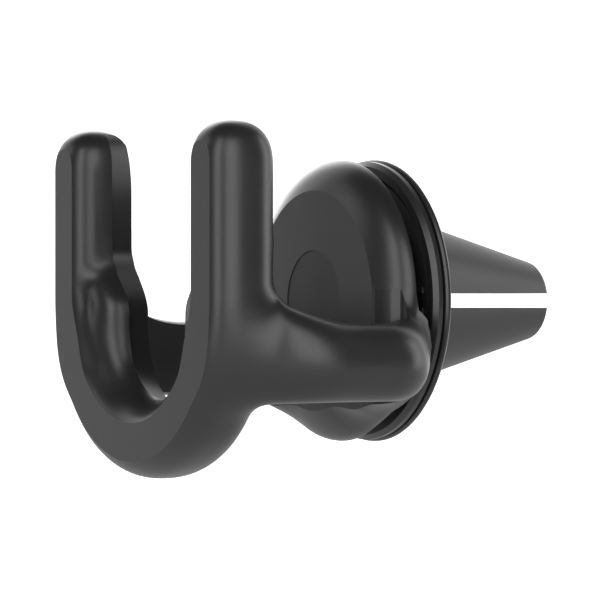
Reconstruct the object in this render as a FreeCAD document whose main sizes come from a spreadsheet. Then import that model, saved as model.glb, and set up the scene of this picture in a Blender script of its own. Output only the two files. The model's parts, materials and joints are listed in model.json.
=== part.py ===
import FreeCAD, Part
import math
import os
import Sketcher

# Vent-clip phone mount. X is to the right, +Y points into the air vent and +Z is up.
# The origin is on the clip's axis, in the middle of the rim's thickness.
# A fork in front holds the neck of a phone's pop-out grip; two jaws at the back hold a vent blade.

Vector = FreeCAD.Vector
doc = FreeCAD.newDocument("phone_mount")
sheet = doc.addObject("Spreadsheet::Sheet", "sizes")
AXIS_Y = Vector(0, 1, 0)
TO_Y = FreeCAD.Rotation(Vector(1, 0, 0), -90)

# Where screws and posts stand round the Y axis, in degrees from +X
PLATE_SCREW_ANGLES = (45, 135, 225, 315)
CAP_SCREW_ANGLES = (90, 210, 330)
POST_ANGLES = (90, 270)
CAM_SCREW_ANGLES = (0, 20, 160, 180, 200, 340)

SIZES = {
    # fork: the rod's section, the arc that it follows, and the flat strip on its front
    "fork_radius": 22.0, "fork_axis_y": -38.0, "fork_arc_z": -0.4,
    "rod_half_width": 5.3, "rod_half_depth": 6.3, "strip_y": -43.37,
    "leg_top_z": 27.2,
    # seat for the grip's neck
    "seat_radius": 11.4, "seat_centre_z": -4.4, "seat_front_y": -41.2, "seat_back_y": -33.6,
    "shoulder_z": 6.0, "slot_inset": 0.5, "slot_half_width": "=fork_radius - rod_half_width + slot_inset",
    # side arms: pill-shaped section and the route that its middle follows
    "arm_z": -9.4, "arm_height": 11.8, "arm_thickness": 6.6, "arm_half_span": 29.0,
    "arm_front_y": -37.0, "arm_shoulder_y": -26.5, "arm_back_y": -7.7,
    "arm_front_bend": 14.0, "arm_back_bend": 5.5,
    # disc shell
    "disc_radius": 22.37, "disc_round": 4.87, "disc_face_radius": "=disc_radius - disc_round",
    "disc_front_y": -10.2, "disc_back_y": -5.13, "disc_wall": 2.2,
    "disc_edge": 2.57, "cavity_radius": "=disc_radius - disc_edge",
    "cap_radius": 8.0, "cap_depth": 0.9, "cap_gap": 0.05,
    # ball joint
    "ball_y": 0.5, "ball_radius": 4.4, "neck_radius": 2.6, "flange_radius": 5.0,
    "flange_front_y": -7.2, "flange_thickness": 0.8,
    "liner_gap": 0.05, "liner_wall": 1.0, "mouth_angle": 40.0,
    "liner_front_angle": 50.0, "liner_edge_angle": 84.0, "liner_rear_angle": 150.0,
    "socket_wall": 1.6, "ball_room": "=ball_radius + 2 * liner_gap + liner_wall",
    "cup_radius": "=ball_room + socket_wall",
    "stud_screw_radius": 1.3, "stud_screw_head_radius": 2.9, "stud_screw_head": 1.1,
    "stud_screw_end_y": -1.5,
    # back plate of the head
    "plate_gap": 0.1, "back_plate_thickness": 1.0, 
    "plate_screw_inset": 5.8, "plate_screw_circle": "=cavity_radius - plate_screw_inset",
    "plate_screw_radius": 0.75, "plate_screw_head_radius": 1.5, "plate_screw_head": 0.6,
    "plate_boss_radius": 2.2,
    # front plate of the clip
    "front_plate_y": -1.0, "front_plate_thickness": 0.8, "front_rim_y": -1.4,
    "front_rim_width": 1.6, "rib_height": 0.7, "rib_width": 0.9,
    "hub_width": 3.1, "hub_radius": "=cup_radius + hub_width",
    "cup_skirt": 0.9, "cap_screw_inset": 1.3, "cap_screw_circle": "=hub_radius - cap_screw_inset",
    "cap_screw_radius": 0.5, "cap_screw_head_radius": 0.95, "cap_screw_head": 0.6,
    "cap_flange": 1.2,
    "o_ring_section": 0.3,
    # lock ring and cam
    "ring_travel": 60.0, "jaw_travel": 0.6, "cam_bore_gap": 0.7, "cam_wall": 0.86,
    "cam_land": 0.56, "cam_edge": 0.2, "web_land": 1.3, "cam_thickness": 0.8,
    "web_front_y": 0.0, "web_thickness": 0.7,
    "follower_radius": 0.95, "follower_gap": 0.09,
    "track_reach": "=jaw_travel + follower_radius + follower_gap",
    "cam_inner_radius": "=cup_radius + cup_skirt + cam_bore_gap",
    "follower_circle": "=cam_inner_radius + cam_wall + track_reach",
    "cam_screw_radius": 0.5, "cam_screw_head_radius": 0.9, "cam_screw_head": 0.4,
    "cam_screw_circle": "=follower_circle + track_reach + cam_land + cam_screw_head_radius",
    "cam_radius": "=cam_screw_circle + cam_screw_head_radius + cam_edge",
    "web_inner_radius": "=cam_screw_circle - web_land",
    # posts and the plate that carries them
    "post_radius": 1.4, "post_gap": 0.6, "post_circle": "=cam_radius + post_gap + post_radius",
    "plate_land": 0.85, "front_plate_radius": "=post_circle + post_radius + plate_land",
    "post_rib_x": 3.4, "post_rib_reach": 4.1, "post_rib_z": "=hub_radius + post_rib_reach",
    "post_rib_lean": 14.0, "post_rib_gap": 0.85,
    "post_rib_length": "=front_plate_radius - front_rim_width - hub_radius - post_rib_gap",
    # the ring's lip and the rim
    "ring_gap": 0.05, "ring_wall": 2.5, "lip_radius": "=front_plate_radius + ring_gap + ring_wall",
    "lip_front_y": -1.5, "lip_back_y": -0.05, "groove_depth": 0.6, "web_step": 0.6,
    "groove_radius": "=lip_radius - groove_depth", "web_radius": "=groove_radius - web_step",
    # housing and cover
    "rim_proud": 0.3, "rim_radius": "=lip_radius + rim_proud", "rim_front_y": 0.45, "rim_back_y": 1.5,
    "housing_land": 0.4, "housing_inner_radius": "=post_circle + post_radius + housing_land",
    "ear_clearance": 0.4, "ear_lap": 0.4,
    "ear_radius": "=(housing_inner_radius + ear_lap - cam_radius - ear_clearance) / 2",
    "ear_gap": 0.1, "ear_front_y": "=web_front_y + web_thickness + ear_gap",
    # jaws: the cone's root clears the cover's screws with the jaw fully open
    "jaw_root_gap": 2.34, "jaw_cone_radius": "=post_circle - jaw_root_gap", "jaw_taper": 0.286,
    "plate_play": 0.2, "jaw_plate_thickness": 1.3,
    "jaw_plate_y": "=web_front_y + web_thickness + cam_thickness + cam_screw_head + plate_play",
    "window_gap": 0.1624,
    "plate_back_y": "=jaw_plate_y + jaw_plate_thickness",
    "window_radius": "=jaw_cone_radius - jaw_taper * plate_back_y + jaw_travel + window_gap",
    "jaw_plate_lap": 0.65, "jaw_plate_radius": "=window_radius + jaw_plate_lap",
    "jaw_plate_side": 0.9, "jaw_plate_half_width": "=jaw_plate_radius - jaw_plate_side",
    "cover_skin": 1.1, "cover_back_y": "=plate_back_y + cover_skin",
    "cover_base_step": 1.0, "cover_base_radius": "=rim_radius - cover_base_step",
    "cover_land": 1.65, "cover_end_radius": "=window_radius + cover_land", "cover_wall": 1.1,
    "cover_screw_radius": 0.6, "cover_screw_head_radius": 1.1, "cover_screw_head": 0.6,
    "cover_boss_height": 1.4, "cover_screw_seat_y": "=rim_back_y + cover_boss_height",
    "slot_half_height": 1.17, "jaw_end_y": 31.1, "jaw_wall": 2.0,
    "core_gap": 0.8, "jaw_core_y": "=ball_y + cup_radius + core_gap",
    "guide_gap": 0.08, "guide_width": 2.4, "guide_length": 10.0,
    "pad_thickness": 1.1, "pad_margin": 0.9, "pad_set_back": 0.12, "jaw_tip_round": 1.3,
}

for row, (alias, size) in enumerate(SIZES.items(), start=1):
    sheet.set(f"A{row}", alias)
    sheet.set(f"B{row}", str(size))
    sheet.setAlias(f"B{row}", alias)
doc.recompute()


def val(alias):
    """The number that a cell of the sheet holds."""
    return float(sheet.get(alias))


def bind(item, **formulas):
    """Bind properties to formulas over the sheet's aliases, written as <alias>."""
    for name, formula in formulas.items():
        item.setExpression(name.replace("__", "."), formula.replace("<", "sizes.").replace(">", ""))
    return item


def turned(label, corners):
    """A body turned about the Y axis; each corner is a pair of formulas: radius, then Y."""
    body = doc.addObject("PartDesign::Body", label)
    sketch = body.newObject("Sketcher::SketchObject", label + "_outline")
    plane = next(item for item in body.Origin.OriginFeatures if item.Role == "XY_Plane")
    sketch.AttachmentSupport = [(plane, "")]
    sketch.MapMode = "FlatFace"
    count = len(corners)
    ends = []
    for index in range(count + 1):
        turn = 2 * math.pi * index / count
        ends.append(Vector(20 + 5 * math.cos(turn), 5 * math.sin(turn), 0))
    for start, end in zip(ends, ends[1:]):
        sketch.addGeometry(Part.LineSegment(start, end))
    for index, (radius, station) in enumerate(corners):
        sketch.addConstraint(Sketcher.Constraint("Coincident", index, 1, (index - 1) % count, 2))
        for kind, formula in (("DistanceX", radius), ("DistanceY", station)):
            number = sketch.addConstraint(Sketcher.Constraint(kind, -1, 1, index, 1, 1.0))
            bind(sketch, **{f"Constraints[{number}]": formula})
    revolution = body.newObject("PartDesign::Revolution", label + "_turned")
    revolution.Profile = sketch
    revolution.ReferenceAxis = (sketch, ["V_Axis"])
    revolution.Angle = 360
    body.Tip = revolution
    return body


def primitive(kind, name, turn=None, **formulas):
    """A Part primitive; turn is a rotation, and the formulas bind its sizes and place."""
    item = doc.addObject("Part::" + kind, name)
    if turn is not None:
        item.Placement = FreeCAD.Placement(Vector(0, 0, 0), turn)
    return bind(item, **formulas)


def rod(name, radius, start, length, across="0", up="0"):
    """A cylinder along +Y."""
    return primitive(
        "Cylinder", name, TO_Y, Radius=radius, Height=length, Placement__Base__x=across,
        Placement__Base__y=start, Placement__Base__z=up,
    )


def block(name, low, size):
    """A box from its lowest corner and its size, both as formulas."""
    return primitive(
        "Box", name, Length=size[0], Width=size[1], Height=size[2], Placement__Base__x=low[0],
        Placement__Base__y=low[1], Placement__Base__z=low[2],
    )


def boolean(kind, label, items):
    """MultiFuse or MultiCommon of several objects."""
    result = doc.addObject("Part::" + kind, label)
    result.Shapes = items
    return result


def cut(label, base, tools):
    """One object less several others."""
    tool = tools[0] if len(tools) == 1 else boolean("MultiFuse", label + "_tools", tools)
    result = doc.addObject("Part::Cut", label)
    result.Base = base
    result.Tool = tool
    return result


def coded(label, shape):
    """A piece whose shape is worked out in code."""
    result = doc.addObject("Part::Feature", label)
    result.Shape = shape
    return result


def ring_of_rods(name, radius, start, length, circle, angles):
    """Cylinders along +Y, evenly placed on a circle round the Y axis."""
    items = []
    for number, angle in enumerate(angles, start=1):
        across = f"({circle}) * cos({angle} deg)"
        up = f"({circle}) * sin({angle} deg)"
        items.append(rod(f"{name}_{number}", radius, start, length, across, up))
    return items


# ---- head: the moulded cradle ----

def rounded_route(corners, bends):
    """Straight runs joined by tangent arcs, one arc at each inner corner."""
    edges = []
    here = corners[0]
    for before, corner, after, bend in zip(corners, corners[1:], corners[2:], bends):
        back = (before - corner).normalize()
        ahead = (after - corner).normalize()
        half_angle = back.getAngle(ahead) / 2
        reach = bend / math.tan(half_angle)
        middle = (back + ahead).normalize()
        nearest = corner + middle * (bend / math.sin(half_angle) - bend)
        start = corner + back * reach
        end = corner + ahead * reach
        edges.append(Part.LineSegment(here, start).toShape())
        edges.append(Part.Arc(start, nearest, end).toShape())
        here = end
    edges.append(Part.LineSegment(here, corners[-1]).toShape())
    return Part.Wire(edges)


def pill_wire(place, width, height):
    """A closed pill outline in the XZ plane, round at top and bottom, centred on a point."""
    radius = width / 2
    half = height / 2 - radius
    left_low = place + Vector(-radius, 0, -half)
    left_high = place + Vector(-radius, 0, half)
    right_high = place + Vector(radius, 0, half)
    right_low = place + Vector(radius, 0, -half)
    crown = place + Vector(0, 0, half + radius)
    root = place + Vector(0, 0, -half - radius)
    return Part.Wire([
        Part.LineSegment(left_low, left_high).toShape(),
        Part.Arc(left_high, crown, right_high).toShape(),
        Part.LineSegment(right_high, right_low).toShape(),
        Part.Arc(right_low, root, left_low).toShape(),
    ])


def arm_shape(side):
    """A C-shaped arm from the fork's leg round to the disc's edge."""
    level = val("arm_z")
    span = val("arm_half_span") * side
    corners = [
        Vector(val("fork_radius") * side, val("arm_front_y"), level),
        Vector(span, val("arm_shoulder_y"), level),
        Vector(span, val("arm_back_y"), level),
        Vector(val("disc_face_radius") * side, val("arm_back_y"), level),
    ]
    route = rounded_route(corners, [val("arm_front_bend"), val("arm_back_bend")])
    heading = (corners[1] - corners[0]).normalize()
    section = pill_wire(Vector(0, 0, 0), val("arm_thickness"), val("arm_height"))
    section.Placement = FreeCAD.Placement(corners[0], FreeCAD.Rotation(AXIS_Y, heading))
    return route.makePipeShell([section], True, False)


def seat_shape():
    """The seat under the grip's neck: a half ring with a sloping shoulder up each side."""
    front = val("seat_front_y")
    centre = Vector(0, front, val("seat_centre_z"))
    inner = val("seat_radius")
    outer = val("fork_radius")
    top = val("shoulder_z")
    wall = val("slot_half_width")

    def at(across, up):
        return Vector(across, front, up)

    edges = [
        Part.Arc(centre + Vector(-inner, 0, 0), centre + Vector(0, 0, -inner), centre + Vector(inner, 0, 0)),
        Part.LineSegment(centre + Vector(inner, 0, 0), at(wall, top)),
        Part.LineSegment(at(wall, top), at(outer, top)),
        Part.LineSegment(at(outer, top), at(outer, centre.z)),
        Part.Arc(at(outer, centre.z), centre + Vector(0, 0, -outer + 2), at(-outer, centre.z)),
        Part.LineSegment(at(-outer, centre.z), at(-outer, top)),
        Part.LineSegment(at(-outer, top), at(-wall, top)),
        Part.LineSegment(at(-wall, top), centre + Vector(-inner, 0, 0)),
    ]
    outline = Part.Wire([edge.toShape() for edge in edges])
    return Part.Face(outline).extrude(AXIS_Y * (val("seat_back_y") - front))


def fork_pieces():
    """The rod's half ring, its two legs and their domed ends."""
    ellipse = primitive(
        "Ellipse", "rod_section", MajorRadius="<rod_half_depth>", MinorRadius="<rod_half_width>",
        Placement__Base__x="<fork_radius>", Placement__Base__y="<fork_axis_y>",
        Placement__Base__z="<fork_arc_z>", turn=FreeCAD.Rotation(Vector(0, 0, 1), 90),
    )
    arc = doc.addObject("Part::Revolution", "fork_arc")
    arc.Source = ellipse
    arc.Axis = AXIS_Y
    arc.Angle = 180
    arc.Solid = True
    bind(arc, Base__z="<fork_arc_z>")
    pieces = [arc]
    for side, name in ((1, "right"), (-1, "left")):
        foot = primitive(
            "Ellipse", f"leg_foot_{name}", MajorRadius="<rod_half_depth>",
            MinorRadius="<rod_half_width>", Placement__Base__x=f"{side} * <fork_radius>",
            Placement__Base__y="<fork_axis_y>", Placement__Base__z="<fork_arc_z>",
            turn=FreeCAD.Rotation(Vector(0, 0, 1), 90),
        )
        leg = doc.addObject("Part::Extrusion", f"leg_{name}")
        leg.Base = foot
        leg.Dir = Vector(0, 0, 1)
        leg.Solid = True
        bind(leg, LengthFwd="<leg_top_z> - <rod_half_depth> - <fork_arc_z>")
        dome = primitive(
            "Ellipsoid", f"leg_dome_{name}", Radius1="<rod_half_depth>",
            Radius2="<rod_half_width>", Radius3="<rod_half_depth>",
            Placement__Base__x=f"{side} * <fork_radius>", Placement__Base__y="<fork_axis_y>",
            Placement__Base__z="<leg_top_z> - <rod_half_depth>",
        )
        pieces += [leg, dome]
    return pieces


def cradle():
    """Fork, seat, arms and disc shell as one moulding."""
    disc = turned("disc_shell", [
        ("0", "<disc_front_y>"),
        ("<disc_radius>", "<disc_front_y>"),
        ("<disc_radius>", "<disc_back_y>"),
        ("<cavity_radius>", "<disc_back_y>"),
        ("<cavity_radius>", "<disc_front_y> + <disc_wall>"),
        ("<flange_radius> + 1.5", "<disc_front_y> + <disc_wall>"),
        ("<flange_radius> + 1.5", "<flange_front_y>"),
        ("0", "<flange_front_y>"),
    ])
    doc.recompute()
    turned_disc = disc.Tip
    rim_edges = []
    for number, edge in enumerate(turned_disc.Shape.Edges, start=1):
        box = edge.BoundBox
        if abs(box.YMin - val("disc_front_y")) < 1e-6 and abs(box.XMax - val("disc_radius")) < 1e-4:
            rim_edges.append(f"Edge{number}")
    rounding = disc.newObject("PartDesign::Fillet", "disc_rounding")
    rounding.Base = (turned_disc, rim_edges)
    bind(rounding, Radius="<disc_radius> - <disc_face_radius>")
    disc.Tip = rounding
    bosses = ring_of_rods(
        "plate_boss", "<plate_boss_radius>", "<disc_front_y> + 1",
        "<flange_front_y> + <flange_thickness> - <disc_front_y> - 1", "<plate_screw_circle>",
        PLATE_SCREW_ANGLES,
    )
    arms = [coded("arm_right", arm_shape(1)), coded("arm_left", arm_shape(-1))]
    seat = coded("neck_seat", seat_shape())
    whole = boolean("MultiFuse", "cradle_blank", [disc] + fork_pieces() + arms + [seat] + bosses)
    front_stock = block(
        "strip_stock", ("-2 * <fork_radius>", "<strip_y> - 10", "-2 * <fork_radius>"),
        ("4 * <fork_radius>", "10", "4 * <fork_radius>"),
    )
    cavity = rod(
        "plate_cavity", "<cavity_radius>", "<flange_front_y> + <flange_thickness>",
        "<disc_back_y> - <flange_front_y> - <flange_thickness> + 1",
    )
    recess = rod("cap_recess", "<cap_radius>", "<disc_front_y> - 1", "<cap_depth> + 1")
    counterbore = rod(
        "stud_counterbore", "<stud_screw_head_radius> + <plate_gap>",
        "<disc_front_y>", "<cap_depth> + <stud_screw_head>",
    )
    hole = rod(
        "stud_hole", "<stud_screw_radius> + <cap_gap>", "<disc_front_y>",
        "<flange_front_y> - <disc_front_y> + 1",
    )
    pilots = ring_of_rods(
        "plate_pilot", "<plate_screw_radius> + <cap_gap>", "<disc_front_y> + 1.3", "5",
        "<plate_screw_circle>", PLATE_SCREW_ANGLES,
    )
    cut("cradle", whole, [front_stock, cavity, recess, counterbore, hole] + pilots)


def head_fittings():
    """Cap, stud, back plate and the screws that hold them."""
    turned("face_cap", [
        ("0", "<disc_front_y> + 0.1"),
        ("<cap_radius> - <cap_gap>", "<disc_front_y> + 0.1"),
        ("<cap_radius> - <cap_gap>", "<disc_front_y> + <cap_depth>"),
        ("0", "<disc_front_y> + <cap_depth>"),
    ])

    neck = turned("stud_neck", [
        ("0", "<flange_front_y>"),
        ("<flange_radius>", "<flange_front_y>"),
        ("<flange_radius>", "<flange_front_y> + <flange_thickness>"),
        ("<neck_radius>", "<flange_front_y> + <flange_thickness>"),
        ("<neck_radius>", "<ball_y>"),
        ("0", "<ball_y>"),
    ])
    ball = primitive("Sphere", "stud_ball", Radius="<ball_radius>", Placement__Base__y="<ball_y>")
    stud = boolean("MultiFuse", "stud_blank", [neck, ball])
    thread = rod(
        "stud_thread", "<stud_screw_radius> + <cap_gap>", "<flange_front_y> - 1",
        "<stud_screw_end_y> - <flange_front_y> + 1.5",
    )
    cut("ball_stud", stud, [thread])

    head_seat = "<disc_front_y> + <cap_depth>"
    screw_head = rod("stud_screw_head_blank", "<stud_screw_head_radius>", head_seat, "<stud_screw_head>")
    shank = rod(
        "stud_screw_shank", "<stud_screw_radius>", head_seat,
        f"<stud_screw_end_y> - ({head_seat})",
    )
    boolean("MultiFuse", "stud_screw", [screw_head, shank])

    plate_front = "<flange_front_y> + <flange_thickness>"
    plate = turned("back_plate_blank", [
        ("<neck_radius> + 0.3", plate_front),
        ("<cavity_radius> - <plate_gap>", plate_front),
        ("<cavity_radius> - <plate_gap>", f"{plate_front} + <back_plate_thickness>"),
        ("<neck_radius> + 0.3", f"{plate_front} + <back_plate_thickness>"),
    ])
    clearance = ring_of_rods(
        "plate_hole", "<plate_screw_radius> + <cap_gap>", f"{plate_front} - 1", "4",
        "<plate_screw_circle>", PLATE_SCREW_ANGLES,
    )
    cut("head_back_plate", plate, clearance)
    seat = f"{plate_front} + <back_plate_thickness>"
    screws_forward(
        "back_plate_screws", "<plate_screw_circle>", PLATE_SCREW_ANGLES, seat,
        "<plate_screw_head>", "<plate_screw_head_radius>", "<plate_screw_radius>",
        "<back_plate_thickness> + 1.2",
    )


def screws_forward(label, circle, angles, seat, head, head_radius, shank_radius, length):
    """Screws whose heads lie behind their seat and whose shanks point to -Y, as one node."""
    heads = ring_of_rods(label + "_head", head_radius, seat, head, circle, angles)
    shanks = ring_of_rods(label + "_shank", shank_radius, f"{seat} - ({length})", length, circle, angles)
    return boolean("MultiFuse", label, heads + shanks)


def screws_rearward(label, circle, angles, seat, head, head_radius, shank_radius, length):
    """Screws whose heads lie in front of their seat and whose shanks point to +Y, as one node."""
    heads = ring_of_rods(label + "_head", head_radius, f"{seat} - ({head})", head, circle, angles)
    shanks = ring_of_rods(label + "_shank", shank_radius, seat, length, circle, angles)
    return boolean("MultiFuse", label, heads + shanks)


def spherical_shell(label, inner, outer, start_angle, end_angle):
    """Part of a hollow ball round the ball's centre, between two angles from the -Y direction."""
    centre = val("ball_y")

    def at(radius, angle):
        turn = math.radians(angle)
        return Vector(radius * math.sin(turn), centre - radius * math.cos(turn), 0)

    middle = (start_angle + end_angle) / 2
    edges = [
        Part.Arc(at(outer, start_angle), at(outer, middle), at(outer, end_angle)),
        Part.LineSegment(at(outer, end_angle), at(inner, end_angle)),
        Part.Arc(at(inner, end_angle), at(inner, middle), at(inner, start_angle)),
        Part.LineSegment(at(inner, start_angle), at(outer, start_angle)),
    ]
    outline = Part.Face(Part.Wire([edge.toShape() for edge in edges]))
    return coded(label, outline.revolve(Vector(0, 0, 0), AXIS_Y, 360))


def ball_joint():
    """The two bearing shells between the ball and its socket."""
    inner = val("ball_radius") + val("liner_gap")
    outer = inner + val("liner_wall")
    edge = val("liner_edge_angle")
    spherical_shell("front_liner", inner, outer, val("liner_front_angle"), edge)
    spherical_shell("rear_liner", inner, outer, 180 - edge, val("liner_rear_angle"))


def socket_cavity(name):
    """The round space that the liners turn in."""
    return primitive("Sphere", name, Radius="<ball_room>", Placement__Base__y="<ball_y>")


def socket():
    """The cap that holds the ball from the front, and its screws."""
    mouth = "<ball_room> * sin(<mouth_angle> * 1 deg)"
    front = "<ball_y> - <ball_room> * cos(<mouth_angle> * 1 deg) - 0.2"
    blank = turned("socket_cap_blank", [
        (mouth, front),
        ("<cup_radius> - 1.6", front),
        ("<cup_radius> - <ring_gap>", f"{front} + 1.6"),
        ("<cup_radius> - <ring_gap>", "<front_plate_y> - <cap_flange>"),
        ("<hub_radius> - 0.2", "<front_plate_y> - <cap_flange>"),
        ("<hub_radius> - 0.2", "<front_plate_y>"),
        ("<cup_radius> - <ring_gap>", "<front_plate_y>"),
        ("<cup_radius> - <ring_gap>", "<ball_y>"),
        (mouth, "<ball_y>"),
    ])
    holes = ring_of_rods(
        "cap_hole", "<cap_screw_radius> + <cap_gap>", "<front_plate_y> - 3", "4",
        "<cap_screw_circle>", CAP_SCREW_ANGLES,
    )
    cut("socket_cap", blank, [socket_cavity("cap_cavity")] + holes)
    screws_rearward(
        "socket_cap_screws", "<cap_screw_circle>", CAP_SCREW_ANGLES,
        "<front_plate_y> - <cap_flange>", "<cap_screw_head>", "<cap_screw_head_radius>",
        "<cap_screw_radius>", "<cap_flange> + 1.4",
    )


PLATE_BACK = "<front_plate_y> + <front_plate_thickness>"
WEB_BACK = "<web_front_y> + <web_thickness>"
CAM_BACK = "<web_front_y> + <web_thickness> + <cam_thickness>"


def front_plate():
    """The clip's front plate with the socket's cup, ribs on its face and two posts behind."""
    disc = turned("front_plate_disc", [
        ("<cup_radius>", "<front_plate_y>"),
        ("<front_plate_radius> - <front_rim_width>", "<front_plate_y>"),
        ("<front_plate_radius> - <front_rim_width>", "<front_rim_y>"),
        ("<front_plate_radius>", "<front_rim_y>"),
        ("<front_plate_radius>", PLATE_BACK),
        ("<hub_radius>", PLATE_BACK),
        ("<hub_radius>", "<web_front_y> + 0.6"),
        ("<cup_radius> + <cup_skirt>", "<web_front_y> + 0.6"),
        ("<cup_radius> + <cup_skirt>", "<web_front_y> + 1.2"),
        ("<cup_radius>", "<ball_y> + 1.4"),
        ("<cup_radius> - 2.4", "<ball_y> + <cup_radius>"),
        ("0", "<ball_y> + <cup_radius>"),
        ("0", "<ball_y>"),
        ("<cup_radius>", "<ball_y>"),
    ])
    ribs = []
    long_rib = "<front_plate_radius> - <front_rim_width> - <hub_radius> + 0.6"
    for name, across in (("right", "<hub_radius>"), ("left", f"-<hub_radius> - ({long_rib})")):
        for level, up in (("high", "<slot_half_height>"), ("low", "-<slot_half_height> - <rib_width>")):
            ribs.append(block(
                f"rib_{name}_{level}", (across, "<front_plate_y> - <rib_height>", up),
                (long_rib, "<rib_height> + 0.3", "<rib_width>"),
            ))
    bosses = ring_of_rods(
        "post_boss", "<post_radius> + 0.3", "<front_plate_y> - <rib_height>", "<rib_height> + 0.3",
        "<post_circle> - 0.8", POST_ANGLES,
    )
    slanted = []
    length = val("post_rib_length")
    width = val("rib_width")
    depth = val("rib_height") + 0.3
    for level in (1, -1):
        for side in (1, -1):
            shape = Part.makeBox(width, depth, length, Vector(-width / 2, 0, -length / 2))
            shape.rotate(Vector(0, 0, 0), AXIS_Y, -side * level * val("post_rib_lean"))
            place = Vector(side * val("post_rib_x"), val("front_plate_y") - val("rib_height"), 0)
            shape.translate(place + Vector(0, 0, level * val("post_rib_z")))
            slanted.append(coded(f"rib_slanted_{len(slanted) + 1}", shape))
    posts = ring_of_rods(
        "post", "<post_radius>", f"{PLATE_BACK} - 0.2", f"<ear_front_y> - ({PLATE_BACK}) + 0.2",
        "<post_circle>", POST_ANGLES,
    )
    blank = boolean("MultiFuse", "front_plate_blank", [disc] + ribs + bosses + slanted + posts)
    groove = turned("o_ring_groove", [
        ("<front_plate_radius> - 2.2 * <o_ring_section>", "<front_plate_y> - <o_ring_section>"),
        ("<front_plate_radius> + 1", "<front_plate_y> - <o_ring_section>"),
        ("<front_plate_radius> + 1", "<front_plate_y> + 1.2 * <o_ring_section>"),
        ("<front_plate_radius> - 2.2 * <o_ring_section>", "<front_plate_y> + 1.2 * <o_ring_section>"),
    ])
    cap_holes = ring_of_rods(
        "plate_cap_hole", "<cap_screw_radius> + <cap_gap>", "<front_plate_y> - 1", "5",
        "<cap_screw_circle>", CAP_SCREW_ANGLES,
    )
    post_holes = ring_of_rods(
        "post_hole", "<cover_screw_radius> + <cap_gap>", "<front_plate_y> + 0.3", "5",
        "<post_circle>", POST_ANGLES,
    )
    cut("front_plate", blank, [groove, socket_cavity("cup_cavity")] + cap_holes + post_holes)
    primitive(
        "Torus", "friction_ring", TO_Y, Radius1="<front_plate_radius> - 1.1 * <o_ring_section>",
        Radius2="<o_ring_section>", Placement__Base__y="<front_plate_y> + 0.1 * <o_ring_section>",
    )


def arc_slot(circle, half_width, half_angle, middle_angle, start, length, drift=0.0):
    """A curved slot round the Y axis. Its radius falls by drift from the middle to one end and
    rises by drift to the other, which makes it a cam track."""

    def at(angle, shift):
        radius = circle - drift * angle / half_angle + shift
        turn = math.radians(middle_angle + angle)
        return Vector(radius * math.cos(turn), start, radius * math.sin(turn))

    def side(shift):
        points = [at(half_angle * step / 8, shift) for step in range(-8, 9)]
        curve = Part.BSplineCurve()
        curve.interpolate(points)
        return curve

    outer = side(half_width)
    inner = side(-half_width)
    shape = Part.makeRuledSurface(outer.toShape(), inner.toShape()).Faces[0].extrude(AXIS_Y * length)
    for angle in (-half_angle, half_angle):
        shape = shape.fuse(Part.makeCylinder(half_width, length, at(angle, 0), AXIS_Y))
    return shape


def lock_ring():
    """The ring that the user turns, its steel cam plate and the screws between them."""
    bore = "<front_plate_radius> + <ring_gap>"
    blank = turned("lock_ring_blank", [
        (bore, "<lip_front_y> + 0.5"),
        (f"{bore} + 0.5", "<lip_front_y>"),
        ("<lip_radius> - 0.7", "<lip_front_y>"),
        ("<lip_radius>", "<lip_front_y> + 0.7"),
        ("<lip_radius>", "<lip_back_y>"),
        ("<groove_radius>", "<lip_back_y>"),
        ("<groove_radius>", "<web_front_y> + 0.3"),
        ("<web_radius>", "<web_front_y> + 0.3"),
        ("<web_radius>", WEB_BACK),
        ("<web_inner_radius>", WEB_BACK),
        ("<web_inner_radius>", "<web_front_y>"),
        (bore, "<web_front_y>"),
    ])
    slots = []
    for number, angle in enumerate(POST_ANGLES, start=1):
        slots.append(coded(f"post_slot_{number}", arc_slot(
            val("post_circle"), val("post_radius") + 0.2, val("ring_travel"), angle,
            val("web_front_y") - 1, val("web_thickness") + 2,
        )))
    seats = ring_of_rods(
        "ring_pilot", "<cam_screw_radius> + <cap_gap>", "<web_front_y> - 1", "4",
        "<cam_screw_circle>", CAM_SCREW_ANGLES,
    )
    cut("lock_ring", blank, slots + seats)

    plate = turned("cam_plate_blank", [
        ("<cam_inner_radius>", WEB_BACK),
        ("<cam_radius>", WEB_BACK),
        ("<cam_radius>", CAM_BACK),
        ("<cam_inner_radius>", CAM_BACK),
    ])
    tracks = []
    for number, angle in enumerate(POST_ANGLES, start=1):
        tracks.append(coded(f"cam_track_{number}", arc_slot(
            val("follower_circle"), val("follower_radius") + val("follower_gap"),
            val("ring_travel"), angle, val("web_front_y"), 3.0, val("jaw_travel"),
        )))
    holes = ring_of_rods(
        "cam_hole", "<cam_screw_radius> + <cap_gap>", "<web_front_y>", "4",
        "<cam_screw_circle>", CAM_SCREW_ANGLES,
    )
    cut("cam_plate", plate, tracks + holes)
    screws_forward(
        "cam_screws", "<cam_screw_circle>", CAM_SCREW_ANGLES, CAM_BACK, "<cam_screw_head>",
        "<cam_screw_head_radius>", "<cam_screw_radius>", "<cam_thickness> + <web_thickness> - 0.1",
    )


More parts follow.
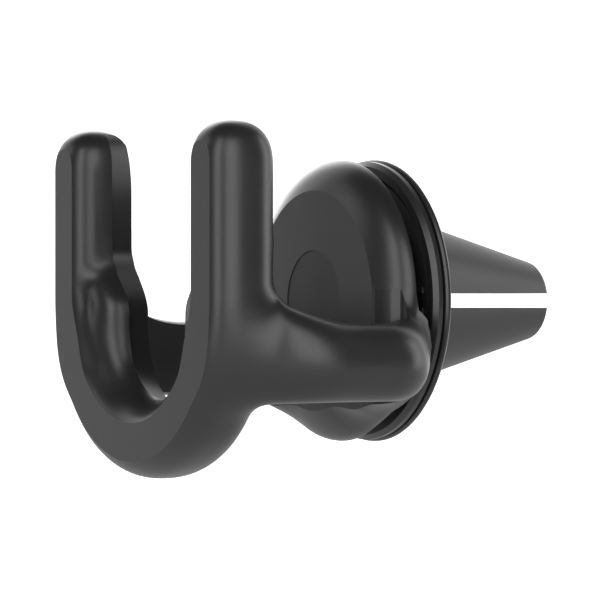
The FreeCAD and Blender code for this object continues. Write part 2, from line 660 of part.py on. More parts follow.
def housing():
    """The fixed rear lip of the rim, the cover behind it and the two long screws."""
    ring = turned("housing_ring", [
        ("<housing_inner_radius>", "<ear_front_y>"),
        ("<web_radius> + 0.3", "<ear_front_y>"),
        ("<web_radius> + 0.3", "<rim_front_y>"),
        ("<rim_radius> - 0.3", "<rim_front_y>"),
        ("<rim_radius>", "<rim_front_y> + 0.3"),
        ("<rim_radius>", "<rim_back_y> - 0.4"),
        ("<rim_radius> - 0.4", "<rim_back_y>"),
        ("<housing_inner_radius>", "<rim_back_y>"),
    ])
    ears = ring_of_rods(
        "ear", "<ear_radius>", "<ear_front_y>", "<rim_back_y> - <ear_front_y>",
        "<cam_radius> + <ear_clearance> + <ear_radius>", POST_ANGLES,
    )
    blank = boolean("MultiFuse", "housing_blank", [ring] + ears)
    holes = ring_of_rods(
        "ear_hole", "<cover_screw_radius> + <cap_gap>", "0", "4", "<post_circle>", POST_ANGLES,
    )
    cut("clip_housing", blank, holes)

    slope = "((<cover_base_radius> - <cover_end_radius>) / (<cover_back_y> - <rim_back_y>))"
    inner_end = "<jaw_plate_y> + <jaw_plate_thickness> + 0.1"
    inner_radius = f"<cover_base_radius> - {slope} * ({inner_end} - <rim_back_y>) - <cover_wall>"
    shell = turned("cover_shell", [
        ("<cover_base_radius> - <cover_wall>", "<rim_back_y>"),
        ("<cover_base_radius>", "<rim_back_y>"),
        ("<cover_end_radius>", "<cover_back_y>"),
        ("<window_radius>", "<cover_back_y>"),
        ("<window_radius>", inner_end),
        (inner_radius, inner_end),
    ])
    rims = ring_of_rods(
        "cover_boss", "<post_radius>", "<rim_back_y>", f"{inner_end} - <rim_back_y> + 0.4",
        "<post_circle> + 0.7", POST_ANGLES,
    )
    guides = []
    guide_x = "<jaw_plate_half_width> + <guide_gap>"
    for name, across in (("right", guide_x), ("left", f"-({guide_x}) - <guide_width>")):
        guides.append(block(
            f"guide_{name}", (across, "<jaw_plate_y>", "-<guide_length> / 2"),
            ("<guide_width>", "<jaw_plate_thickness> + 0.2", "<guide_length>"),
        ))
    cover = boolean("MultiFuse", "cover_blank", [shell] + rims + guides)
    screw_seats = ring_of_rods(
        "cover_screw_seat", "<cover_screw_head_radius> + 0.1", "<cover_screw_seat_y>", "3",
        "<post_circle>", POST_ANGLES,
    )
    screw_holes = ring_of_rods(
        "cover_screw_hole", "<cover_screw_radius> + <cap_gap>", "1", "4", "<post_circle>", POST_ANGLES,
    )
    window = rod("cover_window", "<window_radius>", "<cover_back_y> - 1.05", "3")
    cut("rear_cover", cover, screw_seats + screw_holes + [window])
    screws_forward(
        "cover_screws", "<post_circle>", POST_ANGLES, "<cover_screw_seat_y>", "<cover_screw_head>",
        "<cover_screw_head_radius>", "<cover_screw_radius>", "<cover_screw_seat_y> + 0.3",
    )


def cone_radius(station):
    """The jaw cone's outer radius at a station along Y, as a formula."""
    return f"(<jaw_cone_radius> - <jaw_taper> * ({station}))"


def jaw(side, name):
    """One jaw: half of a hollow cone on a sliding plate, a rubber pad and a steel follower pin."""
    plate_end = "<jaw_plate_y> + <jaw_plate_thickness>"
    cone = turned(f"jaw_cone_{name}", [
        ("0", "<jaw_plate_y>"),
        (cone_radius("<jaw_plate_y>"), "<jaw_plate_y>"),
        (cone_radius("<jaw_end_y>"), "<jaw_end_y>"),
        ("0", "<jaw_end_y>"),
    ])
    doc.recompute()
    end_edges = []
    for number, edge in enumerate(cone.Tip.Shape.Edges, start=1):
        if edge.BoundBox.YMin > val("jaw_end_y") - 1e-6 and edge.BoundBox.XMax > 1:
            end_edges.append(f"Edge{number}")
    turned_cone = cone.Tip
    rounding = cone.newObject("PartDesign::Fillet", f"jaw_tip_{name}")
    rounding.Base = (turned_cone, end_edges)
    bind(rounding, Radius="<jaw_tip_round>")
    cone.Tip = rounding
    plate = turned(f"jaw_plate_{name}", [
        ("0", "<jaw_plate_y>"),
        ("<jaw_plate_radius>", "<jaw_plate_y>"),
        ("<jaw_plate_radius>", plate_end),
        ("0", plate_end),
    ])
    wide = "2 * <jaw_plate_half_width>"
    lane = block(
        f"jaw_lane_{name}", ("-<jaw_plate_half_width>", "<jaw_plate_y>", "-<rim_radius>"),
        (wide, "<jaw_plate_thickness>", "2 * <rim_radius>"),
    )
    narrow_plate = boolean("MultiCommon", f"jaw_flange_{name}", [plate, lane])
    whole = boolean("MultiFuse", f"jaw_whole_{name}", [cone, narrow_plate])
    low = "<slot_half_height>" if side > 0 else "-<rim_radius>"
    half_space = block(
        f"jaw_half_{name}", ("-<rim_radius>", "0", low),
        ("2 * <rim_radius>", "<jaw_end_y> + 5", "<rim_radius> - <slot_half_height>"),
    )
    half = boolean("MultiCommon", f"jaw_blank_{name}", [whole, half_space])
    socket_room = rod(f"socket_room_{name}", "<cup_radius> + <jaw_travel> + 0.4", "0", "<jaw_core_y>")
    core = turned(f"jaw_core_{name}", [
        ("0", "<jaw_plate_y> + <jaw_plate_thickness>"),
        (f"{cone_radius('<jaw_plate_y>')} - <jaw_wall>", "<jaw_plate_y> + <jaw_plate_thickness>"),
        (f"{cone_radius('<jaw_core_y>')} - <jaw_wall>", "<jaw_core_y>"),
        ("0", "<jaw_core_y>"),
    ])
    pocket_height = "1 + <pad_thickness> + <pad_set_back>"
    pocket_low = "<slot_half_height> - 1" if side > 0 else f"-<slot_half_height> + 1 - ({pocket_height})"
    pocket = block(
        f"pad_pocket_{name}", ("-<rim_radius>", "<jaw_core_y> + 0.8", pocket_low),
        ("2 * <rim_radius>", "<jaw_end_y> - <jaw_core_y> - 0.8 - <pad_margin>", pocket_height),
    )
    pad_bound = turned(f"pad_bound_{name}", [
        ("0", "<jaw_core_y> + 0.8"),
        (f"{cone_radius('<jaw_core_y> + 0.8')} - <pad_margin>", "<jaw_core_y> + 0.8"),
        (f"{cone_radius('<jaw_end_y> - <pad_margin>')} - <pad_margin>", "<jaw_end_y> - <pad_margin>"),
        ("0", "<jaw_end_y> - <pad_margin>"),
    ])
    recess = boolean("MultiCommon", f"pad_recess_{name}", [pocket, pad_bound])
    pin_hole = rod(
        f"pin_hole_{name}", "<follower_radius>", "<jaw_plate_y> - 1", "1.9", "0",
        f"{side} * <follower_circle>",
    )
    cut(f"jaw_{name}", half, [socket_room, core, recess, pin_hole])

    pad_low = (
        "<slot_half_height> + <pad_set_back>" if side > 0
        else "-<slot_half_height> - <pad_set_back> - <pad_thickness>"
    )
    pad_block = block(
        f"pad_block_{name}", ("-<rim_radius>", "0", pad_low),
        ("2 * <rim_radius>", "<jaw_end_y>", "<pad_thickness>"),
    )
    boolean("MultiCommon", f"jaw_pad_{name}", [pad_block, pad_bound])

    rod(
        f"cam_pin_{name}", "<follower_radius>", f"{WEB_BACK} + 0.1",
        f"<jaw_plate_y> + 0.9 - ({WEB_BACK}) - 0.1", "0", f"{side} * <follower_circle>",
    )


NODES = (
    "cradle", "face_cap", "stud_screw", "ball_stud", "head_back_plate", "back_plate_screws",
    "front_liner", "rear_liner", "socket_cap", "socket_cap_screws", "front_plate",
    "friction_ring", "lock_ring", "cam_plate", "cam_screws", "clip_housing", "rear_cover",
    "cover_screws", "jaw_upper", "jaw_lower", "jaw_pad_upper", "jaw_pad_lower",
    "cam_pin_upper", "cam_pin_lower",
)


def build():
    """Make every piece, check it and write it out."""
    cradle()
    head_fittings()
    ball_joint()
    socket()
    front_plate()
    lock_ring()
    housing()
    jaw(1, "upper")
    jaw(-1, "lower")
    doc.recompute()
    for item in doc.Objects:
        if "Invalid" in item.State or "Error" in item.State:
            raise RuntimeError(f"{item.Label} did not recompute: {item.State}")
    os.makedirs("parts", exist_ok=True)
    for label in NODES:
        shape = doc.getObjectsByLabel(label)[0].Shape
        if shape.isNull() or not shape.isValid() or not shape.Solids:
            raise RuntimeError(f"{label} is not a valid solid")
        shape.exportStep(f"parts/{label}.step")
        box = shape.BoundBox
        print(
            f"{label:18s} solids {len(shape.Solids)} volume {shape.Volume:9.2f} "
            f"X {box.XMin:.2f} {box.XMax:.2f} Y {box.YMin:.2f} {box.YMax:.2f} Z {box.ZMin:.2f} {box.ZMax:.2f}"
        )


build()
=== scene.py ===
import json
import math

import bmesh
import bpy
import numpy as np
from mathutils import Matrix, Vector


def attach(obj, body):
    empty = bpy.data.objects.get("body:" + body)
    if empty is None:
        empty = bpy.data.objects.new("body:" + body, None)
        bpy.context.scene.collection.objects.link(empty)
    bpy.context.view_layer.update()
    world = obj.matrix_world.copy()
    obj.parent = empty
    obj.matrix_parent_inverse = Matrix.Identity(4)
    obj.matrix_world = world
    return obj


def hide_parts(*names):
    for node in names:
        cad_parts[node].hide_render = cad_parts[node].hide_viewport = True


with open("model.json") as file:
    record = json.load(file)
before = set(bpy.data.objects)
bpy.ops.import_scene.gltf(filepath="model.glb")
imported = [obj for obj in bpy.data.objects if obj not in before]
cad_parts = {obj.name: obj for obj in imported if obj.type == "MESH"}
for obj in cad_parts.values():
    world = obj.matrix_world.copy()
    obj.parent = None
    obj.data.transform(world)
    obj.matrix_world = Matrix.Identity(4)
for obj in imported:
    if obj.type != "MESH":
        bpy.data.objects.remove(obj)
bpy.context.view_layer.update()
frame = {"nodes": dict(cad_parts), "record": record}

# Looks of the vent-clip phone mount. The cradle is one soft moulded form, worked out here as a
# smooth solid in millimetres and cut with crisp tools; every other piece keeps its CAD shape.
MM = 0.001

# ---- sizes of the cradle, in millimetres, in the frame's axes ----

# the fork: two legs and the half ring below them
FORK_R = 22.0
FORK_Y = -38.0
FORK_Z = 0.27
ROD_ACROSS = 5.25
ROD_FRONT = 5.98
ROD_BACK = 6.3
ROD_BELOW = 0.6
ROD_POWER = 2.4
STRIP_Y = -43.37
LEG_TOP = 27.15
DOME = 6.7

# the seat, and the slot whose crisp crease runs behind the strip
SEAT_R = 11.6
SEAT_Z = -4.4
SEAT_Y = -36.6
SEAT_ACROSS = 4.3
SEAT_DEEP = 4.9
SEAT_PROUD = 0.7
SLOT_HALF = 17.0
SLOT_CREASE = -37.4
SLOT_DRAFT = 16.0
CREASE_SHARE = 0.953
CREASE_RUN = 12.0
SHOULDER_LOW = -2.0
SHOULDER_HIGH = 8.5
SHOULDER_ROUND = 4.0
SHOULDER_PROUD = 0.3
SLOT_CUT = 8.0

# the side arms
ARM_Z = -9.4
ARM_HALF_HEIGHT = 6.0
ARM_REACH = 4.9
ARM_ROOT_Y = -19.0
ARM_ROOT_RUN = 13.0
ARM_ROOT_FLARE = 1.9
ARM_ROOT_LIFT = 1.7
ARM_WALL = 24.9
ARM_ROUTE = ((20.0, -38.0), (26.9, -27.0), (26.9, -9.4), (14.0, -9.4))
ARM_BENDS = (14.0, 4.5)
SPACE_FRONT = -33.0
SPACE_MIDDLE = 12.0
SPACE_INSET = 7.0
SPACE_ROUND = 11.5
SPACE_ROUND_Y = -27.0
SPACE_TURN = 35

# the round shell, its hollow and its cap
DISC_R = 22.37
DISC_BACK = -5.13
DISC_BULGE = 8.14
DISC_FACE = -10.2
DISC_FLAT = 17.5
CAVITY_R = 19.8
CAVITY_Y = -8.0
CAP_R = 8.0
CAP_FLOOR = -9.3
POCKET_X = 22.7
POCKET_Y = -9.3
POCKET_R = 2.2
POCKET_TURN = 125
POCKET_MERGE = (20.5, 20.0, 19.4, 18.7, 18.1)
POCKET_CLEAR = 0.12
RIM_OVERLAP = 1.2

# fillets where two forms meet, and the mesh
SEAT_BLEND = 1.4
ARM_BLEND = 3.4
DISC_BLEND = 7.0
GRID = 0.5
FIELD_LOW = (-34.0, -46.5, -30.0)
FIELD_HIGH = (34.0, -1.5, 30.0)
WIDE = 40.0
SHARP_ANGLE = 30


def smooth_min(first, second, blend):
    """The union of two solids, with a fillet of about this size where they meet."""
    share = np.clip(0.5 + 0.5 * (second - first) / blend, 0, 1)
    return second * (1 - share) + first * share - blend * share * (1 - share)


def oval(across, deep, along, half_across, half_deep, half_along, power=2.0):
    """About the distance to a rounded form; a power above 2 makes its section squarer."""
    terms = [
        np.abs(across / half_across) ** power,
        np.abs(deep / half_deep) ** power,
        np.abs(along / half_along) ** power,
    ]
    reach = sum(terms) ** (1 / power)
    whole = np.maximum(reach, 1e-6)
    slope = np.sqrt(
        (np.abs(across / half_across / whole) ** (power - 1) / half_across) ** 2
        + (np.abs(deep / half_deep / whole) ** (power - 1) / half_deep) ** 2
        + (np.abs(along / half_along / whole) ** (power - 1) / half_along) ** 2
    )
    return (reach - 1) / np.maximum(slope, 0.05)


def fork(x, y, z):
    """Two domed legs and the half ring that joins them, a little thicker below."""
    below = np.clip((FORK_Z - z) / FORK_R, 0, 1) ** 2
    ring = np.hypot(x, z - FORK_Z) - FORK_R
    across = np.where(z < FORK_Z, ring, np.abs(x) - FORK_R)
    half = ROD_ACROSS + np.where(across > 0, ROD_BELOW * below, 0)
    along = np.maximum(z - (LEG_TOP - DOME), 0)
    deep = y - FORK_Y
    half_deep = np.where(deep < 0, ROD_FRONT, ROD_BACK)
    return oval(across, deep, along, half, half_deep, DOME, ROD_POWER)


def slot_half_width(z):
    """Half the slot's width at a height: narrow at the seat, wide between the legs."""
    lift = np.clip((z - SHOULDER_LOW) / (SHOULDER_HIGH - SHOULDER_LOW), 0, 1)
    return SEAT_R + (SLOT_HALF - SEAT_R) * lift**2 * (3 - 2 * lift)


def seat(x, y, z):
    """The saddle under the grip's neck, with a shoulder that runs out into each leg."""
    lift = (slot_half_width(z) - SEAT_R) / (SLOT_HALF - SEAT_R)
    middle = slot_half_width(z) + SEAT_ACROSS - SEAT_PROUD * (1 - lift) + SHOULDER_PROUD * lift
    ring = np.hypot(x, z - SEAT_Z) - (SEAT_R + SEAT_ACROSS - SEAT_PROUD)
    across = np.where(z < SEAT_Z, ring, np.abs(x) - middle)
    along = np.maximum(z - SHOULDER_HIGH, 0)
    return oval(across, y - SEAT_Y, along, SEAT_ACROSS, SEAT_DEEP, SHOULDER_ROUND)


def route_points(corners, bends, step=0.5):
    """Points along straight runs joined by tangent arcs."""
    points = [np.array(corners[0], float)]
    for before, corner, after, bend in zip(corners, corners[1:], corners[2:], bends):
        corner = np.array(corner, float)
        back = (np.array(before) - corner) / np.linalg.norm(np.array(before) - corner)
        ahead = (np.array(after) - corner) / np.linalg.norm(np.array(after) - corner)
        half = math.acos(float(np.clip(back @ ahead, -1, 1))) / 2
        middle = (back + ahead) / np.linalg.norm(back + ahead)
        centre = corner + middle * bend / math.sin(half)
        start = corner + back * bend / math.tan(half) - centre
        end = corner + ahead * bend / math.tan(half) - centre
        turn = math.acos(float(np.clip(start @ end / bend**2, -1, 1)))
        for part in np.linspace(0, 1, max(4, int(turn * bend / step))):
            mix = (math.sin((1 - part) * turn) * start + math.sin(part * turn) * end) / math.sin(turn)
            points.append(centre + mix)
    points.append(np.array(corners[-1], float))
    return points


ARM_POINTS = route_points(ARM_ROUTE, ARM_BENDS)


def arms(x, y, z):
    """The two C-shaped arms: a pill section swept along a route seen from above."""
    side = np.abs(x)
    nearest = np.full(x.shape, 1e9)
    for start, end in zip(ARM_POINTS, ARM_POINTS[1:]):
        run = end - start
        share = ((side - start[0]) * run[0] + (y - start[1]) * run[1]) / (run @ run)
        share = np.clip(share, 0, 1)
        gap = np.hypot(side - start[0] - share * run[0], y - start[1] - share * run[1])
        nearest = np.minimum(nearest, gap)
    root = np.clip((ARM_ROOT_Y - y) / ARM_ROOT_RUN, 0, 1)
    half_height = ARM_HALF_HEIGHT + ARM_ROOT_FLARE * root**2
    return oval(nearest, z - ARM_Z - ARM_ROOT_LIFT * root**2, 0, ARM_REACH, half_height, 1.0)


def disc(x, y, z):
    """The round shell's front, before its flat face and its hollow are cut."""
    radial = np.hypot(x, z)
    deep = np.minimum(y - DISC_BACK, 0)
    dome = oval(radial, deep, np.zeros_like(x), DISC_R, DISC_BULGE, 1.0)
    return np.maximum(dome, y - (DISC_BACK + RIM_OVERLAP))


def cradle_field(x, y, z):
    """The whole soft form: negative inside."""
    upright = smooth_min(fork(x, y, z), seat(x, y, z), SEAT_BLEND)
    limbs = smooth_min(upright, arms(x, y, z), ARM_BLEND)
    return smooth_min(limbs, disc(x, y, z), DISC_BLEND)


# ---- a mesh from a field ----

SOFT_MARK = bpy.data.materials.new("soft_mark")
CUT_MARK = bpy.data.materials.new("cut_mark")


def surface_net(field, low, high, step):
    """Vertices and quads on the zero level of a field, one vertex in each cell it crosses."""
    axes = [np.arange(a, b + step, step) for a, b in zip(low, high)]
    value = field(*np.meshgrid(*axes, indexing="ij"))
    inside = value < 0
    shape = np.array(value.shape) - 1
    total = np.zeros(tuple(shape) + (3,))
    count = np.zeros(tuple(shape))
    crossings = []
    for axis in range(3):
        one = [slice(None)] * 3
        two = [slice(None)] * 3
        one[axis] = slice(0, -1)
        two[axis] = slice(1, None)
        crosses = inside[tuple(one)] != inside[tuple(two)]
        where = np.argwhere(crosses)
        first = value[tuple(one)][crosses]
        second = value[tuple(two)][crosses]
        point = where.astype(float)
        point[:, axis] += first / (first - second)
        others = [other for other in range(3) if other != axis]
        for shift_a in (0, 1):
            for shift_b in (0, 1):
                cell = where.copy()
                cell[:, others[0]] -= shift_a
                cell[:, others[1]] -= shift_b
                ok = np.all((cell >= 0) & (cell < shape), axis=1)
                np.add.at(total, tuple(cell[ok].T), point[ok])
                np.add.at(count, tuple(cell[ok].T), 1)
        crossings.append((axis, where, inside[tuple(one)][crosses]))
    used = count > 0
    number = np.full(tuple(shape), -1)
    number[used] = np.arange(used.sum())
    verts = total[used] / count[used][:, None] * step + np.array(low)
    faces = []
    for axis, where, starts_inside in crossings:
        b, c = (axis + 1) % 3, (axis + 2) % 3
        corners = []
        for shift_b, shift_c in ((0, 0), (1, 0), (1, 1), (0, 1)):
            cell = where.copy()
            cell[:, b] -= shift_b
            cell[:, c] -= shift_c
            corners.append(number[tuple(cell.T)])
        quad = np.stack(corners, axis=1)
        quad[~starts_inside] = quad[~starts_inside][:, ::-1]
        faces.append(quad)
    return verts, np.concatenate(faces)


def settle(field, verts, rounds=4, probe=0.02):
    """Move vertices along the field's slope until they lie on its zero level."""
    for _ in range(rounds):
        slope = np.zeros_like(verts)
        for axis in range(3):
            shift = np.zeros(3)
            shift[axis] = probe
            slope[:, axis] = (field(*(verts + shift).T) - field(*(verts - shift).T)) / (2 * probe)
        size = np.maximum((slope**2).sum(axis=1), 1e-6)
        move = slope * (field(*verts.T) / size)[:, None]
        length = np.maximum(np.linalg.norm(move, axis=1), 1e-9)
        verts = verts - move * np.minimum(1, 0.3 / length)[:, None]
    return verts


def mesh_object(name, verts, faces):
    """A mesh in metres from points in millimetres."""
    mesh = bpy.data.meshes.new(name)
    mesh.from_pydata((np.array(verts) * MM).tolist(), [], [list(map(int, face)) for face in faces])
    mesh.update()
    piece = bpy.data.objects.new(name, mesh)
    bpy.context.scene.collection.objects.link(piece)
    return piece


def tidy_normals(piece):
    """Make all faces point outwards."""
    work = bmesh.new()
    work.from_mesh(piece.data)
    bmesh.ops.recalc_face_normals(work, faces=work.faces)
    work.to_mesh(piece.data)
    work.free()


def prism(name, outline, axis, start, end, far_outline=None):
    """A closed tool over an outline. For axis Z the outline is X, Y; for axis Y it is X, Z."""
    def point(pair, level):
        if axis == "Z":
            return (pair[0], pair[1], level)
        return (pair[0], level, pair[1])

    count = len(outline)
    verts = [point(pair, start) for pair in outline]
    verts += [point(pair, end) for pair in far_outline or outline]
    faces = [list(range(count)), list(range(2 * count - 1, count - 1, -1))]
    for index in range(count):
        ahead_index = (index + 1) % count
        faces.append([index, index + count, ahead_index + count, ahead_index])
    piece = mesh_object(name, verts, faces)
    tidy_normals(piece)
    piece.data.materials.append(SOFT_MARK)
    piece.data.materials.append(CUT_MARK)
    for face in piece.data.polygons:
        face.material_index = 1
    return piece


def circle(radius, count=128):
    """Points round a circle."""
    return [
        (radius * math.cos(2 * math.pi * k / count), radius * math.sin(2 * math.pi * k / count))
        for k in range(count)
    ]


def carve(piece, tool):
    """Cut a tool out of a piece and throw the tool away."""
    modifier = piece.modifiers.new("carve", "BOOLEAN")
    modifier.operation = "DIFFERENCE"
    modifier.solver = "EXACT"
    modifier.object = tool
    depsgraph = bpy.context.evaluated_depsgraph_get()
    result = bpy.data.meshes.new_from_object(piece.evaluated_get(depsgraph))
    piece.modifiers.clear()
    piece.data = result
    bpy.data.objects.remove(tool)


def dome_y(across):
    """Where the disc's rounded front lies at a radius."""
    return DISC_BACK - DISC_BULGE * math.sqrt(max(0.0, 1 - (across / DISC_R) ** 2))


def grip_space_outline():
    """The space between the arms seen from above, with a round pocket at each back corner."""
    right_side = [(SPACE_MIDDLE, SPACE_FRONT), (ARM_WALL - SPACE_INSET, SPACE_FRONT)]
    centre = ARM_WALL - SPACE_ROUND
    for step in range(13):
        turn = math.radians(-SPACE_TURN + step * SPACE_TURN / 12)
        right_side.append((
            centre + SPACE_ROUND * math.cos(turn), SPACE_ROUND_Y + SPACE_ROUND * math.sin(turn)
        ))
    for step in range(15):
        turn = math.radians(step * POCKET_TURN / 14)
        right_side.append((
            POCKET_X + POCKET_R * math.cos(turn), POCKET_Y + POCKET_R * math.sin(turn)
        ))
    for across in POCKET_MERGE:
        right_side.append((across, dome_y(across) - POCKET_CLEAR))
    right_side.append((DISC_FLAT, DISC_FACE))
    left_side = [(-across, deep) for across, deep in reversed(right_side)]
    return right_side + left_side


def slot_outline(grow):
    """The fork's slot seen from the front, grown by this much on every side."""
    apex = FORK_R + grow
    right_side = [(apex, WIDE)]
    for step in range(17):
        lift = 1 - step / 16
        inward = ROD_ACROSS * (1 - lift**ROD_POWER) ** (1 / ROD_POWER)
        right_side.append((apex - inward * CREASE_SHARE, LEG_TOP - CREASE_RUN * (1 - lift)))
    for step in range(25):
        level = SHOULDER_HIGH + (SEAT_Z - SHOULDER_HIGH) * step / 24
        right_side.append((float(slot_half_width(level)) + grow, level))
    for step in range(1, 33):
        turn = math.radians(90 * step / 32)
        right_side.append((
            (SEAT_R + grow) * math.cos(turn), SEAT_Z - (SEAT_R + grow) * math.sin(turn)
        ))
    left_side = [(-across, up) for across, up in reversed(right_side[:-1])]
    return right_side + left_side


def make_cradle():
    """The moulded fork, arms and disc shell."""
    verts, faces = surface_net(cradle_field, FIELD_LOW, FIELD_HIGH, GRID)
    verts = settle(cradle_field, verts)
    piece = mesh_object("cradle_shell", verts, faces)
    tidy_normals(piece)
    piece.data.materials.append(SOFT_MARK)
    piece.data.materials.append(CUT_MARK)
    slab = [(-WIDE, -WIDE), (WIDE, -WIDE), (WIDE, WIDE), (-WIDE, WIDE)]
    carve(piece, prism("front_cut", slab, "Y", STRIP_Y - 8, STRIP_Y))
    drafted = slot_outline(SLOT_CUT * math.tan(math.radians(SLOT_DRAFT)))
    slot_end = SLOT_CREASE + SLOT_CUT
    carve(piece, prism("slot_cut", slot_outline(0), "Y", SLOT_CREASE, slot_end, drafted))
    carve(piece, prism("space_cut", grip_space_outline(), "Z", -WIDE, WIDE))
    carve(piece, prism("back_cut", circle(DISC_R + 0.8), "Y", DISC_BACK, DISC_BACK + 6))
    carve(piece, prism("cavity_cut", circle(CAVITY_R), "Y", CAVITY_Y, DISC_BACK + 1))
    carve(piece, prism("cap_cut", circle(CAP_R), "Y", DISC_FACE - 3, CAP_FLOOR))
    return piece


def shade(piece):
    """Smooth shading, with a sharp edge round every cut and at every corner."""
    work = bmesh.new()
    work.from_mesh(piece.data)
    limit = math.radians(SHARP_ANGLE)
    for face in work.faces:
        face.smooth = True
    for edge in work.edges:
        if len(edge.link_faces) == 2:
            one, two = edge.link_faces
            same_cut = one.material_index == two.material_index
            edge.smooth = same_cut and edge.calc_face_angle(0) < limit
    for face in work.faces:
        face.material_index = 0
    work.to_mesh(piece.data)
    work.free()


# ---- materials ----

def node(tree, kind, **inputs):
    """A shader node with some of its inputs set."""
    item = tree.nodes.new(kind)
    for name, given in inputs.items():
        item.inputs[name.replace("_", " ")].default_value = given
    return item


def plastic(name, colour, rough, grain=0.00006, grain_scale=9000.0, mottle=0.12):
    """Moulded plastic: a fine spark-eroded grain and faint flow mottling."""
    material = bpy.data.materials.new(name)
    material.use_nodes = True
    tree = material.node_tree
    shader = tree.nodes["Principled BSDF"]
    place = tree.nodes.new("ShaderNodeTexCoord")
    fine = node(tree, "ShaderNodeTexNoise", Scale=grain_scale, Detail=3.0, Roughness=0.6)
    broad = node(tree, "ShaderNodeTexNoise", Scale=140.0, Detail=4.0, Roughness=0.55)
    tint = tree.nodes.new("ShaderNodeMapRange")
    tint.inputs["To Min"].default_value = 1 - mottle
    tint.inputs["To Max"].default_value = 1 + mottle
    blend = tree.nodes.new("ShaderNodeMix")
    blend.data_type = "RGBA"
    blend.blend_type = "MULTIPLY"
    blend.inputs[0].default_value = 1.0
    blend.inputs[6].default_value = (*colour, 1)
    gloss = tree.nodes.new("ShaderNodeMapRange")
    gloss.inputs["To Min"].default_value = rough - 0.04
    gloss.inputs["To Max"].default_value = rough + 0.05
    bump = node(tree, "ShaderNodeBump", Strength=0.12, Distance=grain)
    link = tree.links.new
    link(place.outputs["Object"], fine.inputs["Vector"])
    link(place.outputs["Object"], broad.inputs["Vector"])
    link(broad.outputs[0], tint.inputs["Value"])
    link(tint.outputs[0], blend.inputs[7])
    link(blend.outputs[2], shader.inputs["Base Color"])
    link(broad.outputs[0], gloss.inputs["Value"])
    link(gloss.outputs[0], shader.inputs["Roughness"])
    link(fine.outputs[0], bump.inputs["Height"])
    link(bump.outputs[0], shader.inputs["Normal"])
    shader.inputs["IOR"].default_value = 1.55
    return material


def steel(name, colour, rough):
    """Plated steel with a fine grain and slight staining."""
    material = plastic(name, colour, rough, grain=0.00002, grain_scale=4000.0, mottle=0.08)
    material.node_tree.nodes["Principled BSDF"].inputs["Metallic"].default_value = 1.0
    return material


MATERIALS = {
    "shell_black": plastic("shell_plastic", (0.015, 0.015, 0.0154), 0.33),
    "cap_black": plastic("cap_plastic", (0.016, 0.016, 0.0165), 0.5),
    "ring_black": plastic("ring_plastic", (0.016, 0.016, 0.0164), 0.31),
    "inner_black": plastic("inner_plastic", (0.018, 0.018, 0.0185), 0.5),
    "jaw_black": plastic("jaw_plastic", (0.022, 0.022, 0.0225), 0.4),
    "rubber_black": plastic(
        "pad_rubber", (0.010, 0.010, 0.010), 0.7, grain=0.00012, grain_scale=5000.0,
    ),
    "acetal": plastic("bearing_plastic", (0.62, 0.61, 0.57), 0.35),
    "steel": steel("plated_steel", (0.50, 0.50, 0.51), 0.3),
}


def dress(piece, slot_name):
    """Give a piece one material."""
    piece.data.materials.clear()
    piece.data.materials.append(MATERIALS[slot_name])


cradle = make_cradle()
shade(cradle)
dress(cradle, "shell_black")
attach(cradle, "head")
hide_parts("cradle")

for row in frame["record"]["subparts"]:
    if row["node"] != "cradle":
        item = frame["nodes"][row["node"]]
        for number in range(len(item.material_slots)):
            item.material_slots[number].material = MATERIALS[row["material_slot"]]

# ---- stage, light and camera ----

VIEW_TURN = math.radians(58.92)
VIEW_RANGE = 0.625
VIEW_ASIDE = 0.01083
VIEW_LIFT = 0.0001
FLOOR_Z = -130.0
FLOOR_FRONT = -2500.0
STAGE_SEAM = 1000.0
STAGE_FLAT = 200
STAGE_BEND = 500.0
STAGE_HALF = 2600.0
right = Vector((math.cos(VIEW_TURN), math.sin(VIEW_TURN), 0))
ahead = Vector((-math.sin(VIEW_TURN), math.cos(VIEW_TURN), 0))


def light(name, place, aim, size, power):
    """A soft rectangular light."""
    lamp = bpy.data.lights.new(name, "AREA")
    lamp.shape = "RECTANGLE"
    lamp.size = size[0]
    lamp.size_y = size[1]
    lamp.energy = power
    holder = bpy.data.objects.new(name, lamp)
    holder.location = place
    holder.rotation_euler = (Vector(aim) - Vector(place)).to_track_quat("-Z", "Y").to_euler()
    bpy.context.scene.collection.objects.link(holder)


def pale_material(name, glow):
    """Pale paper; the backdrop glows a little so that it reads as plain white."""
    pale = bpy.data.materials.new(name)
    pale.use_nodes = True
    shader = pale.node_tree.nodes["Principled BSDF"]
    shader.inputs["Base Color"].default_value = (0.88, 0.88, 0.88, 1)
    shader.inputs["Roughness"].default_value = 0.9
    shader.inputs["Emission Color"].default_value = (1, 1, 1, 1)
    shader.inputs["Emission Strength"].default_value = glow
    return pale


def stage_sheet(name, profile, material):
    """A wide sheet along a profile of distance beyond the object and height."""
    verts = []
    for deep, up in profile:
        for aside in (-STAGE_HALF, STAGE_HALF):
            place = deep * ahead + aside * right
            verts.append((place.x, place.y, up))
    rows = [[2 * k, 2 * k + 1, 2 * k + 3, 2 * k + 2] for k in range(len(profile) - 1)]
    sheet = mesh_object(name, verts, rows)
    for face in sheet.data.polygons:
        face.use_smooth = True
    sheet.data.materials.append(material)


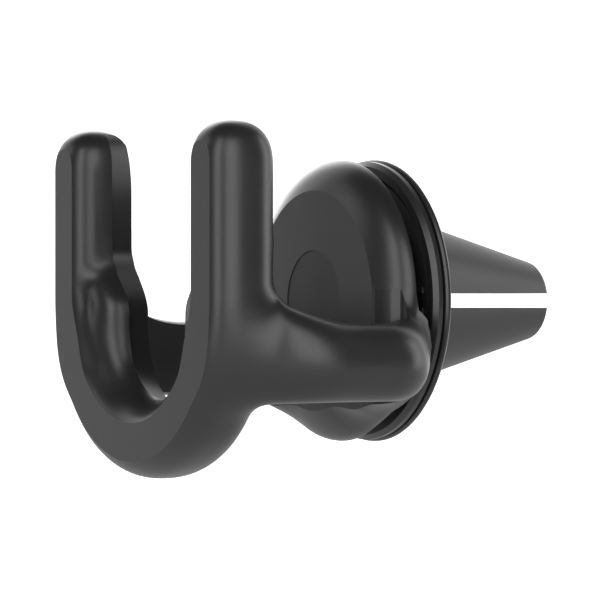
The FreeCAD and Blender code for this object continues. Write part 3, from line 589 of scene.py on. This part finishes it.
def make_stage():
    """A pale floor, and a white backdrop that curves up behind it."""
    start = STAGE_SEAM + STAGE_FLAT
    curve = [(STAGE_SEAM, FLOOR_Z)]
    for step in range(17):
        turn = math.radians(90 * step / 16)
        curve.append((
            start + STAGE_BEND * math.sin(turn), FLOOR_Z + STAGE_BEND * (1 - math.cos(turn))
        ))
    curve.append((start + STAGE_BEND, STAGE_HALF))
    floor_line = [(FLOOR_FRONT, FLOOR_Z), (STAGE_SEAM, FLOOR_Z)]
    stage_sheet("studio_floor", floor_line, pale_material("pale_floor", 0.0))
    stage_sheet("backdrop", curve, pale_material("white_paper", 0.9))


make_stage()

world = bpy.data.worlds.new("studio")
world.use_nodes = True
world.node_tree.nodes["Background"].inputs["Color"].default_value = (1, 1, 1, 1)
world.node_tree.nodes["Background"].inputs["Strength"].default_value = 0.07
bpy.context.scene.world = world
bpy.context.scene.view_settings.view_transform = "Standard"


def softbox(name, azimuth, height, distance, size, power):
    """A soft light at an azimuth measured from +X towards +Y, aimed at the object."""
    turn = math.radians(azimuth)
    place = (distance * math.cos(turn), distance * math.sin(turn), height)
    light(name, place, (0, 0, 0), size, power)


softbox("key", -8, 0.1, 1.0, (0.7, 1.6), 9.5)
softbox("camera_side", -56, 0.2, 1.0, (0.4, 1.5), 6.0)
softbox("side", 74, 0.0, 1.0, (0.35, 1.4), 4.5)
softbox("front_wash", -125, 0.5, 1.2, (0.7, 0.9), 2.3)
softbox("rear_wash", 160, 0.5, 1.2, (0.7, 0.9), 4.5)
softbox("under", -30, -0.9, 0.7, (0.9, 0.3), 3.5)

camera_data = bpy.data.cameras.new("camera")
camera_data.sensor_width = 36.0
camera_data.lens = 234.2
camera = bpy.data.objects.new("camera", camera_data)
camera.location = -VIEW_RANGE * ahead - VIEW_ASIDE * right + Vector((0, 0, VIEW_LIFT))
camera.rotation_euler = (math.radians(90), 0, VIEW_TURN)
camera_data.clip_start = 0.01
bpy.context.scene.collection.objects.link(camera)
bpy.context.scene.camera = camera
